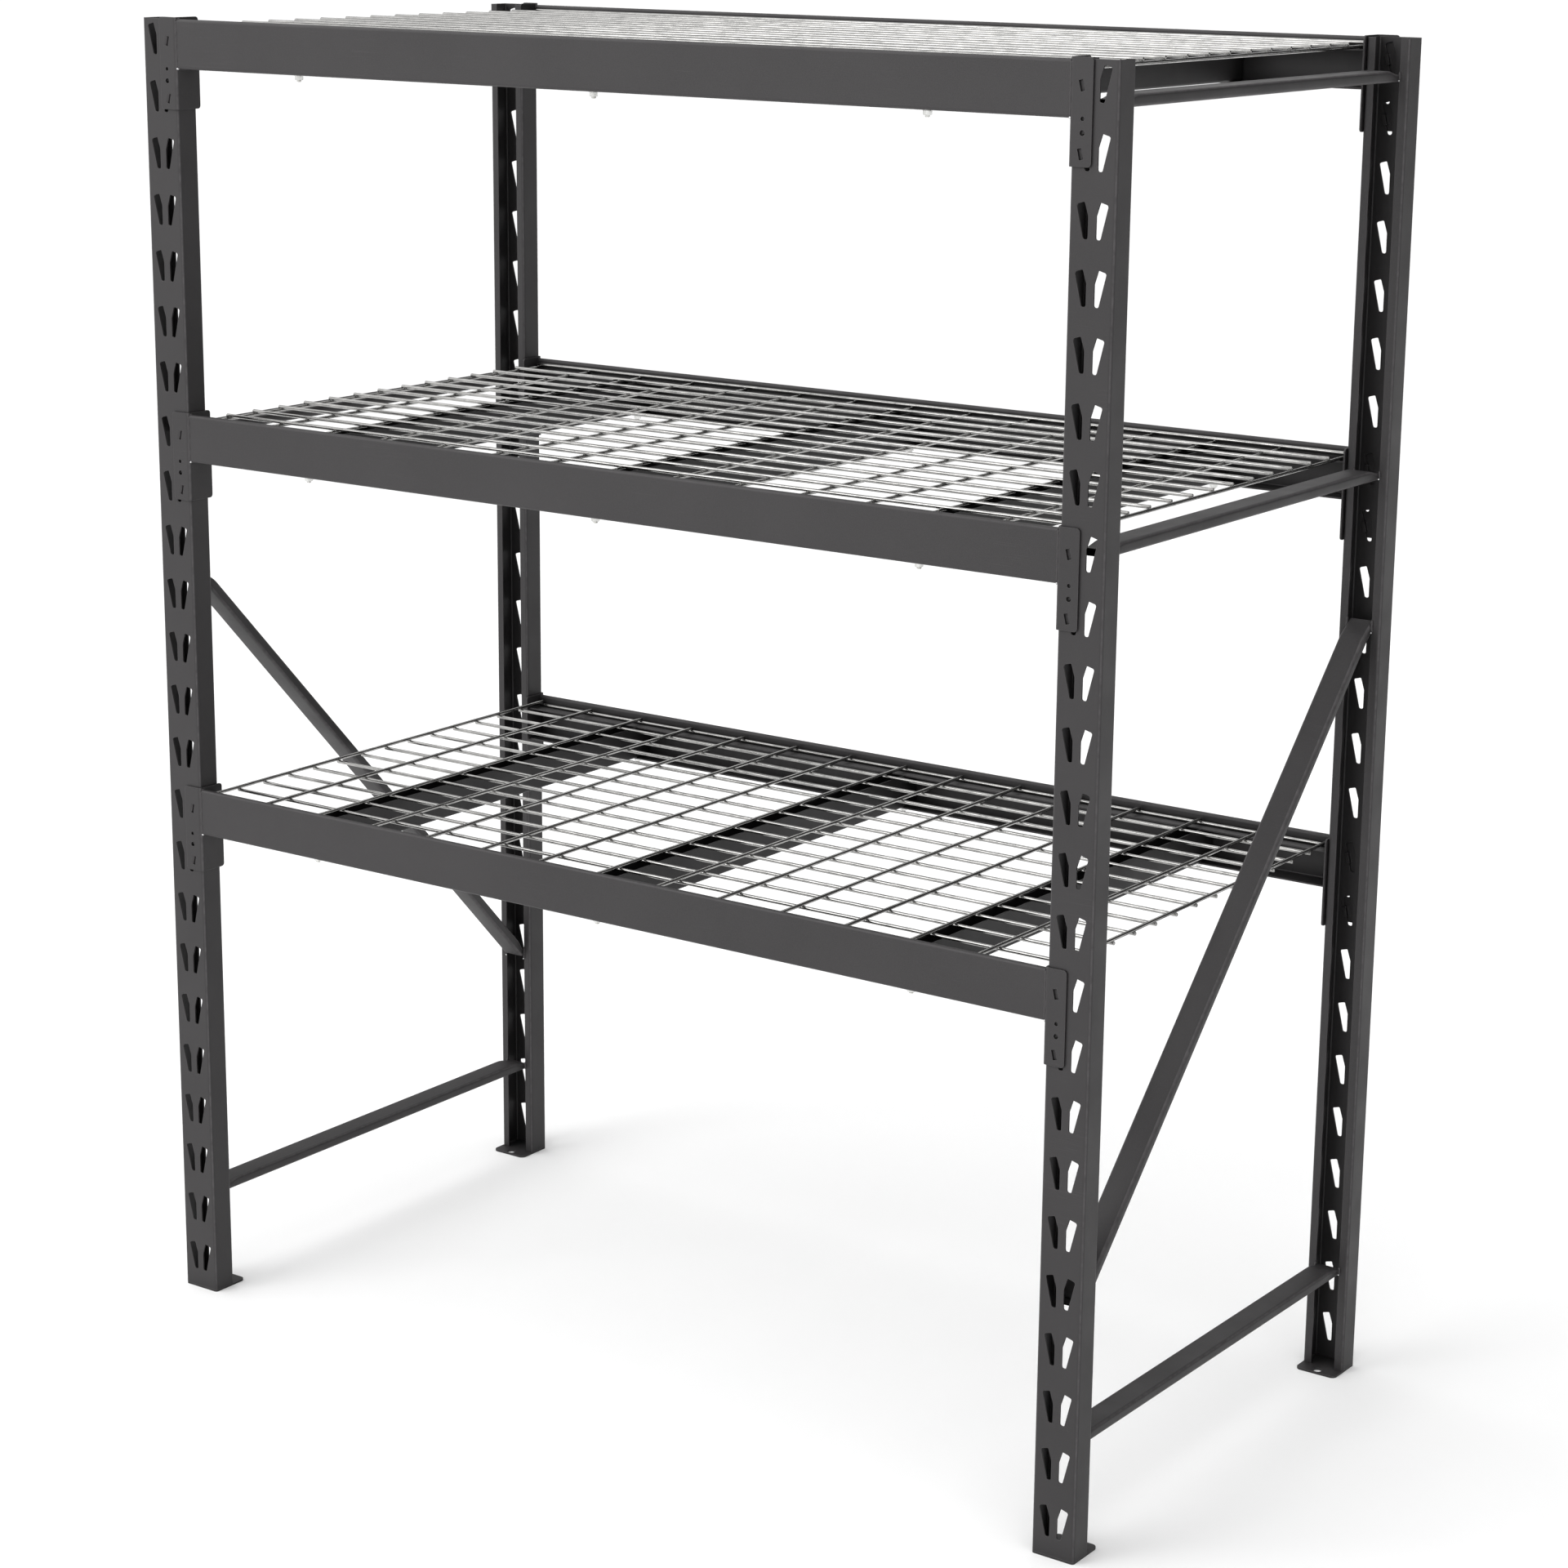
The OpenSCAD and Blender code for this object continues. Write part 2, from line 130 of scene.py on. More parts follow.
class Nodes:
    """The node tree of a material or world, with short calls to add and join nodes."""

    def __init__(self, holder):
        holder.use_nodes = True
        self.holder = holder
        self.tree = holder.node_tree
        self.shader = self.tree.nodes.get("Principled BSDF")
        space = "Object" if self.shader else "Generated"
        self.place = self.add("ShaderNodeTexCoord").outputs[space]

    def add(self, kind, **settings):
        node = self.tree.nodes.new(kind)
        for key, value in settings.items():
            setattr(node, key, value)
        return node

    def join(self, source, target):
        self.tree.links.new(source, target)

    def noise(self, scale, detail=2.0, stretch=None, roughness=0.5):
        """Noise texture's factor; stretch scales the coordinates first."""
        node = self.add("ShaderNodeTexNoise")
        node.inputs["Scale"].default_value = scale
        node.inputs["Detail"].default_value = detail
        node.inputs["Roughness"].default_value = roughness
        place = self.place
        if stretch:
            mapping = self.add("ShaderNodeMapping")
            mapping.inputs["Scale"].default_value = stretch
            self.join(place, mapping.inputs["Vector"])
            place = mapping.outputs["Vector"]
        self.join(place, node.inputs["Vector"])
        return node.outputs["Fac"]

    def span(self, source, low, high, out_low=0.0, out_high=1.0):
        """source from low..high to out_low..out_high, clamped."""
        node = self.add("ShaderNodeMapRange")
        self.join(source, node.inputs["Value"])
        node.inputs["From Min"].default_value = low
        node.inputs["From Max"].default_value = high
        node.inputs["To Min"].default_value = out_low
        node.inputs["To Max"].default_value = out_high
        return node.outputs["Result"]

    def maths(self, operation, first, second):
        node = self.add("ShaderNodeMath", operation=operation)
        for socket, value in zip(node.inputs, (first, second)):
            if isinstance(value, (int, float)):
                socket.default_value = value
            else:
                self.join(value, socket)
        return node.outputs["Value"]

    def blend(self, factor, first, second):
        """Colour from first to second as factor goes 0 to 1."""
        node = self.add("ShaderNodeMix", data_type="RGBA")
        self.join(factor, node.inputs["Factor"])
        for socket, value in ((node.inputs[6], first), (node.inputs[7], second)):
            if isinstance(value, tuple):
                socket.default_value = (*value, 1)
            else:
                self.join(value, socket)
        return node.outputs[2]

    def edges(self, radius):
        """1 along convex and concave edges within radius, 0 on flat faces."""
        bevel = self.add("ShaderNodeBevel", samples=4)
        bevel.inputs["Radius"].default_value = radius
        normal = self.add("ShaderNodeNewGeometry").outputs["Normal"]
        dot = self.add("ShaderNodeVectorMath", operation="DOT_PRODUCT")
        self.join(bevel.outputs["Normal"], dot.inputs[0])
        self.join(normal, dot.inputs[1])
        return self.span(dot.outputs["Value"], 0.995, 0.80), bevel.outputs["Normal"]

    def bends(self, pairs):
        """1 along the rounded bends of square sections, whose normals lean between two axes; the
        mask of the painted bend highlight.
        """
        split = self.add("ShaderNodeSeparateXYZ")
        self.join(self.add("ShaderNodeTexCoord").outputs["Normal"], split.inputs[0])
        total = 0.0
        for first, second in pairs:                    # such as "XY"
            product = self.maths("MULTIPLY", split.outputs[first], split.outputs[second])
            total = self.maths("ADD", self.maths("ABSOLUTE", product, 0.0), total)
        return self.span(total, 0.34, 0.48)

    def painted_recess_shade(self, distance):
        """0 deep inside narrow channels, to 1 on open faces: ambient occlusion, the mask of painted
        shade in recesses.
        """
        node = self.add("ShaderNodeAmbientOcclusion", samples=6)
        node.inputs["Distance"].default_value = distance
        return self.span(node.outputs["AO"], 0.20, 0.80)

    def bump(self, height, distance, strength=1.0, normal=None):
        node = self.add("ShaderNodeBump")
        node.inputs["Strength"].default_value = strength
        node.inputs["Distance"].default_value = distance
        self.join(height, node.inputs["Height"])
        if normal is not None:
            self.join(normal, node.inputs["Normal"])
        return node.outputs["Normal"]


def new_material(name):
    return Nodes(bpy.data.materials.new(name))


def scaled(colour, factor):
    return tuple(c * factor for c in colour)


def floor_material():
    n = new_material("pale_floor")
    tone = n.span(n.noise(0.6, 3), 0.3, 0.7)
    n.join(n.blend(tone, (0.95, 0.95, 0.95), (0.97, 0.97, 0.97)), n.shader.inputs["Base Color"])
    n.shader.inputs["Roughness"].default_value = 0.9
    n.shader.inputs["Specular IOR Level"].default_value = 0.1
    return n.holder


def powder_coat(name, colour, bends=(), scuffs=0.35, bend_highlight_gain=4.2):
    """Satin charcoal powder coat: orange-peel skin, cloudy tone, faint scuffs, edges lightened as
    worn coat and painted edge highlight, painted highlight along bends and painted shade in
    recesses.
    """
    n = new_material(name)
    cloud = n.span(n.noise(5.0, 4), 0.35, 0.65)
    grain = n.span(n.noise(900.0, 3), 0.3, 0.7)
    scratch = n.noise(1.0, 3, stretch=(14, 14, 1500), roughness=0.6)
    patch = n.span(n.noise(9.0, 3), 0.55, 0.66)
    scuff = n.maths("MULTIPLY", n.span(scratch, 0.60, 0.70, 0.0, scuffs), patch)
    edge, soft_normal = n.edges(0.9 * MM)
    tone = n.blend(cloud, scaled(colour, 0.90), scaled(colour, 1.10))
    tone = n.blend(n.maths("MULTIPLY", grain, 0.5), tone, scaled(colour, 1.6))
    tone = n.blend(scuff, tone, scaled(colour, 3.2))
    # Lighter along sharp edges: partly worn coat, partly a painted edge highlight.
    worn_edge_and_highlight = n.maths("MULTIPLY", edge, n.span(n.noise(45.0, 4), 0.25, 0.65, 0.35, 0.95))
    tone = n.blend(worn_edge_and_highlight, tone, scaled(colour, 5.0))
    if bends:
        # Painted highlight: the coat turns lighter along rounded bends, standing in for the
        # highlight line that light draws there.
        painted_bend_highlight = n.maths("MULTIPLY", n.bends(bends), n.span(n.noise(120.0, 4), 0.3, 0.7, 0.25, 0.8))
        tone = n.blend(painted_bend_highlight, tone, scaled(colour, bend_highlight_gain))
    # Painted shade: the coat darkens to about a third of its colour deep inside channels and
    # recesses, where shade falls.
    tone = n.blend(n.painted_recess_shade(55 * MM), scaled(colour, 0.35), tone)
    n.join(tone, n.shader.inputs["Base Color"])
    rough = n.span(n.noise(14.0, 4), 0.3, 0.7, 0.42, 0.54)
    n.join(n.maths("ADD", rough, n.maths("MULTIPLY", scuff, 0.25)), n.shader.inputs["Roughness"])
    n.shader.inputs["Specular IOR Level"].default_value = 0.31
    peel = n.bump(n.noise(620.0, 2), 0.12 * MM, 0.6, soft_normal)
    n.join(n.bump(n.noise(2600.0, 1), 0.03 * MM, 0.5, peel), n.shader.inputs["Normal"])
    return n.holder


def plated(name, colour, dull, roughness, white_rust=0.0):
    """Zinc plating: mottled metal with drawn lines, duller patches and an optional chalky bloom."""
    n = new_material(name)
    mottle = n.span(n.noise(60.0, 5), 0.35, 0.7)
    specks = n.span(n.noise(1500.0, 3), 0.45, 0.75)
    tone = n.blend(mottle, colour, dull)
    tone = n.blend(n.maths("MULTIPLY", specks, 0.25), tone, scaled(dull, 0.7))
    if white_rust:
        bloom = n.span(n.noise(24.0, 4), 0.62, 0.72, 0.0, white_rust)
        tone = n.blend(bloom, tone, (0.80, 0.80, 0.78))
    n.join(tone, n.shader.inputs["Base Color"])
    n.shader.inputs["Metallic"].default_value = 1.0
    n.join(n.span(mottle, 0, 1, roughness, roughness + 0.14), n.shader.inputs["Roughness"])
    n.join(n.bump(n.noise(900.0, 3), 0.04 * MM, 0.5), n.shader.inputs["Normal"])
    return n.holder


CHARCOAL = (0.0262, 0.0246, 0.0254)

coat_frame = powder_coat("powder_coat_frame", CHARCOAL, bends=("XY", "XZ"), bend_highlight_gain=3.1)
coat_beam = powder_coat(
    "powder_coat_beam", scaled(CHARCOAL, 1.05), bends=("YZ",), scuffs=0.2, bend_highlight_gain=1.9
)
coat_connector = powder_coat(
    "powder_coat_connector", CHARCOAL, bends=("XY",), scuffs=0.25, bend_highlight_gain=3.1
)
# Supports take the frame's charcoal at 0.45: a darker copy of the same coat, painted shade for the
# supports sitting under the decks.
coat_for_shaded_supports = powder_coat("support_powder_coat_painted_shade", scaled(CHARCOAL, 0.45))
coat_weld = powder_coat("powder_coat_weld", scaled(CHARCOAL, 1.5), scuffs=0.6)
bare_weld = plated("bare_weld_spatter", (0.80, 0.80, 0.80), (0.45, 0.45, 0.46), 0.22)
zinc_wire = plated(
    "zinc_wire", (0.41, 0.405, 0.395), (0.27, 0.268, 0.262), 0.12, white_rust=0.05
)
zinc_weld = plated("zinc_weld_flash", (0.34, 0.34, 0.34), (0.14, 0.14, 0.14), 0.34)
zinc_bolt = plated("zinc_bolt", (0.80, 0.80, 0.78), (0.55, 0.54, 0.50), 0.25)
zinc_nut = plated("zinc_nut", (0.78, 0.78, 0.77), (0.50, 0.50, 0.48), 0.18)

# ---------------------------------------------------------------- mesh making


def new_piece(name, verts, faces, material, body, smooth=True):
    """Object from one vertex and face list, riding on body."""
    mesh = bpy.data.meshes.new(name)
    mesh.from_pydata(verts, [], faces)
    mesh.validate()
    for polygon in mesh.polygons:
        polygon.use_smooth = smooth
    mesh.materials.append(material)
    piece = bpy.data.objects.new(name, mesh)
    bpy.context.scene.collection.objects.link(piece)
    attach(piece, body)
    return piece


class Shape:
    """Vertices and faces gathered from several lofts."""

    def __init__(self):
        self.verts = []
        self.faces = []

    def loft(self, rings, cap_first=True, cap_last=True):
        """Skin over rings of equal length, each a closed loop of points."""
        start, n = len(self.verts), len(rings[0])
        for ring in rings:
            self.verts.extend(tuple(p) for p in ring)
        for i in range(len(rings) - 1):
            a, b = start + i * n, start + (i + 1) * n
            for k in range(n):
                m = (k + 1) % n
                self.faces.append((a + k, a + m, b + m, b + k))
        if cap_first:
            self.faces.append(tuple(start + k for k in reversed(range(n))))
        if cap_last:
            last = start + (len(rings) - 1) * n
            self.faces.append(tuple(last + k for k in range(n)))


def circle_ring(centre, across, up, radius, sides):
    ring = []
    for k in range(sides):
        a = math.tau * k / sides
        ring.append(centre + (across * math.cos(a) + up * math.sin(a)) * radius)
    return ring


def frame_of(direction):
    """Two unit vectors square to direction."""
    direction = direction.normalized()
    guide = Vector((0, 0, 1)) if abs(direction.z) < 0.9 else Vector((1, 0, 0))
    across = guide.cross(direction).normalized()
    return across, direction.cross(across)


# ---------------------------------------------------------------- wire decks

WIRE_SIDES = 12
WIRE_STEP = 24.5 * MM             # distance between rings along a wire
WIRE_WAVER = 0.35 * MM            # how far a wire strays from straight
WIRE_END_ROUND = 0.9 * MM         # length over which a wire's sheared end is rounded
NUGGET_WIDTH = 0.80               # size of a spot weld, in wire radii
NUGGET_HEIGHT = 0.55


def deck_facts(level):
    """Counts, places and sizes of a deck's wires, read from its CAD nodes."""
    long_low, long_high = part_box(f"{level}_deck_long_wires")
    cross_low, cross_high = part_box(f"{level}_deck_cross_wires")
    radius = (long_high.z - long_low.z) / 2
    long_count = count_solids(f"{level}_deck_long_wires")
    cross_count = count_solids(f"{level}_deck_cross_wires")

    def spread(low, high, count):
        return [low + radius + (high - low - 2 * radius) * i / (count - 1) for i in range(count)]

    return {
        "radius": radius,
        "ys": spread(long_low.y, long_high.y, long_count),
        "xs": spread(cross_low.x, cross_high.x, cross_count),
        "long_z": long_low.z + radius,
        "cross_z": cross_low.z + radius,
        "long_span": (long_low.x, long_high.x),
        "cross_span": (cross_low.y, cross_high.y),
    }


def count_solids(node):
    """Number of separate solids in a CAD node."""
    mesh = frame["nodes"][node].data
    corners = {}
    parent = list(range(len(mesh.vertices)))

    def root(i):
        while parent[i] != i:
            parent[i] = parent[parent[i]]
            i = parent[i]
        return i

    for v in mesh.vertices:
        key = tuple(round(c, 5) for c in v.co)
        parent[root(v.index)] = root(corners.setdefault(key, v.index))
    for edge in mesh.edges:
        parent[root(edge.vertices[0])] = root(edge.vertices[1])
    return len({root(i) for i in range(len(parent))})


def add_wire(shape, start, end, radius, chance):
    """One drawn wire with a slight waver, sheared and rounded at both ends."""
    length = (end - start).length
    along = (end - start).normalized()
    across, up = frame_of(along)
    steps = max(4, round(length / WIRE_STEP))
    phase = [chance.uniform(0, math.tau) for _ in range(4)]
    size = [chance.uniform(0.3, 1.0) * WIRE_WAVER for _ in range(4)]

    def centre(t):
        side = size[0] * math.sin(math.tau * 1.5 * t + phase[0])
        side += size[1] * math.sin(math.tau * 4 * t + phase[1]) * 0.4
        rise = size[2] * math.sin(math.tau * 1.2 * t + phase[2])
        rise += size[3] * math.sin(math.tau * 5 * t + phase[3]) * 0.3
        return start + along * (length * t) + across * side * 0.8 + up * rise * 0.5

    rings = []
    end_t = WIRE_END_ROUND / length
    for t, r in ((0.0, 0.62), (end_t * 0.35, 0.9)):
        rings.append(circle_ring(centre(t), across, up, radius * r, WIRE_SIDES))
    for i in range(steps + 1):
        t = end_t + (1 - 2 * end_t) * i / steps
        rings.append(circle_ring(centre(t), across, up, radius, WIRE_SIDES))
    for t, r in ((1 - end_t * 0.35, 0.9), (1.0, 0.62)):
        rings.append(circle_ring(centre(t), across, up, radius * r, WIRE_SIDES))
    shape.loft(rings)


def add_nugget(shape, centre, radius, flat, chance):
    """Squeezed-out metal of one spot weld between crossing wires."""
    sides, bands = 9, 4
    spin = chance.uniform(0, math.tau)
    wide = radius * chance.uniform(0.92, 1.12)
    long = wide * chance.uniform(0.9, 1.2)
    rings = []
    for band in range(bands + 1):
        tilt = math.pi * (0.08 + 0.84 * band / bands) - math.pi / 2
        z = flat * math.sin(tilt)
        girth = math.cos(tilt)
        ring = []
        for k in range(sides):
            a = math.tau * k / sides
            lump = 1 + 0.10 * math.sin(3 * a + spin)
            x, y = long * girth * lump * math.cos(a), wide * girth * lump * math.sin(a)
            turned_x = x * math.cos(spin) - y * math.sin(spin)
            turned_y = x * math.sin(spin) + y * math.cos(spin)
            ring.append(centre + Vector((turned_x, turned_y, z)))
        rings.append(ring)
    shape.loft(rings)


def make_deck(level, chance):
    facts = deck_facts(level)
    body, radius = f"{level}_deck", facts["radius"]
    longs, crosses, welds = Shape(), Shape(), Shape()
    for y in facts["ys"]:
        start, end = (Vector((x, y, facts["long_z"])) for x in facts["long_span"])
        add_wire(longs, start, end, radius, chance)
    for x in facts["xs"]:
        start, end = (Vector((x, y, facts["cross_z"])) for y in facts["cross_span"])
        add_wire(crosses, start, end, radius, chance)
    weld_z = (facts["long_z"] + facts["cross_z"]) / 2
    for x in facts["xs"]:
        for y in facts["ys"]:
            place = Vector((x, y, weld_z))
            add_nugget(welds, place, radius * NUGGET_WIDTH, radius * NUGGET_HEIGHT, chance)
    for kind, shape in (("long", longs), ("cross", crosses)):
        piece = new_piece(f"{level}_{kind}_wire_set", shape.verts, shape.faces,
                          zinc_wire, body)
        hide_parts(f"{level}_deck_{kind}_wires")
    new_piece(f"{level}_deck_spot_welds", welds.verts, welds.faces, zinc_weld, body)


# ---------------------------------------------------------------- frame braces

BRACE_WALL = 1.5 * MM
BRACE_CORNER = 4.5 * MM
PRESSED_END = 34 * MM             # length over which a brace end is pressed flatter
PRESSED_DEPTH = 0.40              # share of the brace's thickness pressed away at the very end
SHEARED_END = 20 * MM             # length over which the diagonal's slanted end is drawn out
CORNER_STEPS = 5


def rounded_loop(width, low, high, corner):
    """Closed loop of (across, up) points round a rectangle with rounded corners."""
    points = []
    for cx, cy, start in (
        (width / 2 - corner, high - corner, 0),
        (-width / 2 + corner, high - corner, 90),
        (-width / 2 + corner, low + corner, 180),
        (width / 2 - corner, low + corner, 270),
    ):
        for k in range(CORNER_STEPS + 1):
            a = math.radians(start + 90 * k / CORNER_STEPS)
            points.append((cx + corner * math.cos(a), cy + corner * math.sin(a)))
    return points


def pressed(distance):
    """How much of the pressing has happened at this distance from a brace's end, 0 to 1."""
    t = max(0.0, min(1.0, 1 - distance / PRESSED_END))
    return t * t * (3 - 2 * t)


def brace_shape(length, width, thick, slant=0.0):
    """Hollow brace along Y, centred, its top face pressed down at both ends.

    slant is the tangent of the angle at which the ends are cut.
    """
    shape = Shape()
    marks = [PRESSED_END * k / 8 for k in range(9)] + [0.07]
    inner = [length * k / 12 for k in range(2, 11)]
    stations = sorted(marks + inner + [length - m for m in marks])
    for inset, outward in ((0.0, True), (BRACE_WALL, False)):
        rings = []
        for s in stations:
            depth = pressed(min(s, length - s)) * PRESSED_DEPTH * thick
            loop = rounded_loop(width - 2 * inset, -thick / 2 + inset, thick / 2 - depth - inset,
                                min(BRACE_CORNER, (thick - depth) / 2.2) - inset * 0.8)
            near_end = max(0.0, 1 - min(s, length - s) / SHEARED_END)
            ring = []
            for across, up in loop:
                lean = slant * up * near_end
                ring.append(Vector((across, s - length / 2 + lean, up)))
            rings.append(ring if outward else ring[::-1])
        shape.loft(rings, cap_first=False, cap_last=False)
    n = len(rings[0])
    half = len(stations) * n
    for end in (0, len(stations) - 1):
        for k in range(n):
            m = (k + 1) % n
            outer_a, outer_b = end * n + k, end * n + m
            inner_a, inner_b = half + end * n + (n - 1 - k), half + end * n + (n - 1 - m)
            quad = (outer_a, inner_a, inner_b, outer_b)
            shape.faces.append(quad if end == 0 else quad[::-1])
    return shape


def make_braces():
    for side in SIDES:
        for kind in ("top", "middle", "bottom"):
            node = f"{kind}_brace_{side}"
            low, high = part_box(node)
            centre = (low + high) / 2
            shape = brace_shape(high.y - low.y, high.x - low.x, high.z - low.z)
            place_brace(node, shape, centre, 0.0)
        node = f"diagonal_brace_{side}"
        low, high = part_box(node)
        level_low, level_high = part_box(f"top_brace_{side}")
        thick = level_high.z - level_low.z
        run = high.y - low.y
        angle = diagonal_angle(run, high.z - low.z, thick)
        length = run / math.cos(angle)
        shape = brace_shape(length, high.x - low.x, thick, math.tan(angle))
        place_brace(node, shape, (low + high) / 2, -angle if side == "left" else angle)


def diagonal_angle(run, rise, thick):
    """Slope of a tube whose box is run by rise, when its ends are cut upright."""
    angle = math.atan2(rise, run)
    for _ in range(20):
        angle = math.atan2(rise - thick / math.cos(angle), run)
    return angle


def place_brace(node, shape, centre, tilt):
    turn = Matrix.Rotation(tilt, 4, "X")
    verts = [centre + turn @ v for v in map(Vector, shape.verts)]
    verts = [tuple(v) for v in verts]
    piece = new_piece(f"{node}_tube", verts, shape.faces, coat_frame, "frames")
    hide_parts(node)
    sharpen(piece)


def sharpen(piece, degrees=50):
    """Hard shading across edges sharper than the angle."""
    mesh = piece.data
    limit = math.radians(degrees)
    faces_of = {}
    for polygon in mesh.polygons:
        for key in polygon.edge_keys:
            faces_of.setdefault(key, []).append(polygon.normal.copy())
    marks = mesh.attributes.new("sharp_edge", "BOOLEAN", "EDGE")
    for edge in mesh.edges:
        normals = faces_of.get(tuple(sorted(edge.vertices)), [])
        sharp = len(normals) == 2 and normals[0].angle(normals[1], 0) > limit
        marks.data[edge.index].value = sharp


# ---------------------------------------------------------------- weld seams

BEAD_STEP = 0.9 * MM              # distance between rings along a weld bead
BEAD_SIDES = 8
# Bead radii: up a beam's web, along its flanges, at braces and feet
WEB_BEAD = 1.5 * MM
FLANGE_BEAD = 1.7 * MM
BRACE_BEAD = 1.9 * MM
FOOT_BEAD = 1.8 * MM
BEAM_DROP = 1.8 * MM              # drop radii
BRACE_DROP = 1.3 * MM
LOWER_SEAM = 30 * MM              # how far the seams run in along a beam's bottom and top
UPPER_SEAM = 7.5 * MM
FOOT_SEAM_HALF = 11 * MM


def add_bead(shape, start, end, radius, chance, taper=0.35):
    """Rippled weld bead from start to end, thinner at both ends."""
    length = (end - start).length
    across, up = frame_of(end - start)
    steps = max(6, round(length / BEAD_STEP))
    swell = [chance.uniform(0, math.tau) for _ in range(3)]
    rings = []
    for i in range(steps + 1):
        t = i / steps
        s = length * t
        ripple = 1 + 0.09 * math.sin(math.tau * s / (2.1 * MM) + swell[0])
        ripple += 0.10 * math.sin(math.tau * s / (9.0 * MM) + swell[1])
        ripple += chance.uniform(-0.04, 0.04)
        close = min(1.0, min(s, length - s) / (2.2 * MM))
        girth = radius * ripple * (taper + (1 - taper) * math.sqrt(close))
        stray = across * math.sin(math.tau * s / (17 * MM) + swell[2]) * radius * 0.12
        rings.append(circle_ring(start.lerp(end, t) + stray, across, up, girth, BEAD_SIDES))
    shape.loft(rings)


def add_lump(shape, centre, radius, chance):
    """Uneven blob of weld metal."""
    bands, sides = 6, 10
    spin = chance.uniform(0, math.tau)
    rings = []
    for band in range(bands + 1):
        tilt = math.pi * (0.06 + 0.88 * band / bands) - math.pi / 2
        ring = []
        for k in range(sides):
            a = math.tau * k / sides
            uneven = 1 + 0.14 * math.sin(2 * a + spin) + 0.08 * math.sin(3 * a - spin)
            girth = radius * math.cos(tilt) * uneven
            rise = radius * 0.85 * math.sin(tilt)
            ring.append(centre + Vector((girth * math.cos(a), girth * math.sin(a), rise)))
        rings.append(ring)
    shape.loft(rings)


def make_beam_welds(level, chance):
    """Seams between the beams' ends and the connectors, with a bright drop at the lower corner."""
    seams, drops = Shape(), Shape()
    for face in FACES:
        out = -1 if face == "front" else 1
        beam_low, beam_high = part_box(f"{level}_beam_{face}")
        face_y = beam_low.y if face == "front" else beam_high.y
        for side in SIDES:
            right = 1 if side == "right" else -1
            x = beam_high.x * right
            web_x, web_y = x + right * 0.5 * MM, face_y - out * 0.7 * MM
            low_end = Vector((web_x, web_y, beam_low.z + 2.5 * MM))
            high_end = Vector((web_x, web_y, beam_high.z - 2.5 * MM))
            add_bead(seams, low_end, high_end, WEB_BEAD, chance)
            for z, rise, reach in ((beam_low.z, -1, LOWER_SEAM), (beam_high.z, 1, UPPER_SEAM)):
                seam_x, seam_z = x - right * 0.2 * MM, z - rise * 0.3 * MM
                outer_end = Vector((seam_x, face_y - out * 2 * MM, seam_z))
                inner_end = Vector((seam_x, face_y - out * reach, seam_z))
                add_bead(seams, outer_end, inner_end, FLANGE_BEAD, chance)
            corner = Vector((x + right * 0.2 * MM, face_y - out * 1.2 * MM, beam_low.z + 0.6 * MM))
            add_lump(drops, corner, BEAM_DROP, chance)
    for kind, shape, material in (("seams", seams, coat_weld), ("drops", drops, bare_weld)):
        name = f"{level}_beam_weld_{kind}"
        new_piece(name, shape.verts, shape.faces, material, f"{level}_shelf")


def make_frame_welds(chance):
    """Seams between braces and posts' lips and between posts and foot plates, with their drops."""
    seams, drops = Shape(), Shape()
    for side in SIDES:
        right = 1 if side == "right" else -1
        for face in FACES:
            out = -1 if face == "front" else 1
            post_low, post_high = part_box(f"post_{face}_{side}")
            lip_y = post_high.y if face == "front" else post_low.y
            for kind in ("top", "middle", "bottom", "diagonal"):
                low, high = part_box(f"{kind}_brace_{side}")
                level_low, level_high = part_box(f"top_brace_{side}")
                thick = level_high.z - level_low.z
                middle = (low.z + high.z) / 2
                reach = thick / 2
                if kind == "diagonal":
                    angle = diagonal_angle(high.y - low.y, high.z - low.z, thick)
                    climb = math.tan(angle) * abs(lip_y)
                    middle += climb * out * right
                    reach = thick / 2 / math.cos(angle)
                for x in (low.x, high.x):
                    inward = 1 if x == low.x else -1
                    y = lip_y - out * 0.3 * MM
                    seam_x = x - inward * 0.3 * MM
                    low_end = Vector((seam_x, y, middle - reach + 1.5 * MM))
                    high_end = Vector((seam_x, y, middle + reach - 2.5 * MM))
                    add_bead(seams, low_end, high_end, BRACE_BEAD, chance)
                    corner = Vector((x, y - out * 1.0 * MM, middle - reach + 1.8 * MM))
                    add_lump(drops, corner, BRACE_DROP, chance)
            plate_low, plate_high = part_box(f"foot_plate_{face}_{side}")
            for x, inward in ((post_low.x, 1), (post_high.x, -1)):
                centre_y = (post_low.y + post_high.y) / 2
                seam_x, seam_z = x + inward * 2.6 * MM, plate_high.z + 0.2 * MM
                near_end = Vector((seam_x, centre_y - FOOT_SEAM_HALF, seam_z))
                far_end = Vector((seam_x, centre_y + FOOT_SEAM_HALF, seam_z))
                add_bead(seams, near_end, far_end, FOOT_BEAD, chance)
    new_piece("frame_weld_seams", seams.verts, seams.faces, coat_weld, "frames")
    new_piece("frame_weld_drops", drops.verts, drops.faces, bare_weld, "frames")


# ---------------------------------------------------------------- bolts and nuts

THREAD_PITCH = 1.0 * MM
THREAD_DEPTH = 0.34 * MM
THREAD_STEP = 0.2 * MM
THREAD_RADIUS = 2.98 * MM
HEAD_HEIGHT = 4 * MM
FLATS = 9.9 * MM                  # across the flat sides of a bolt's head or a nut
FLANGE_HEIGHT = 1.8 * MM
TURN_SIDES = 36                   # points round a bolt or nut


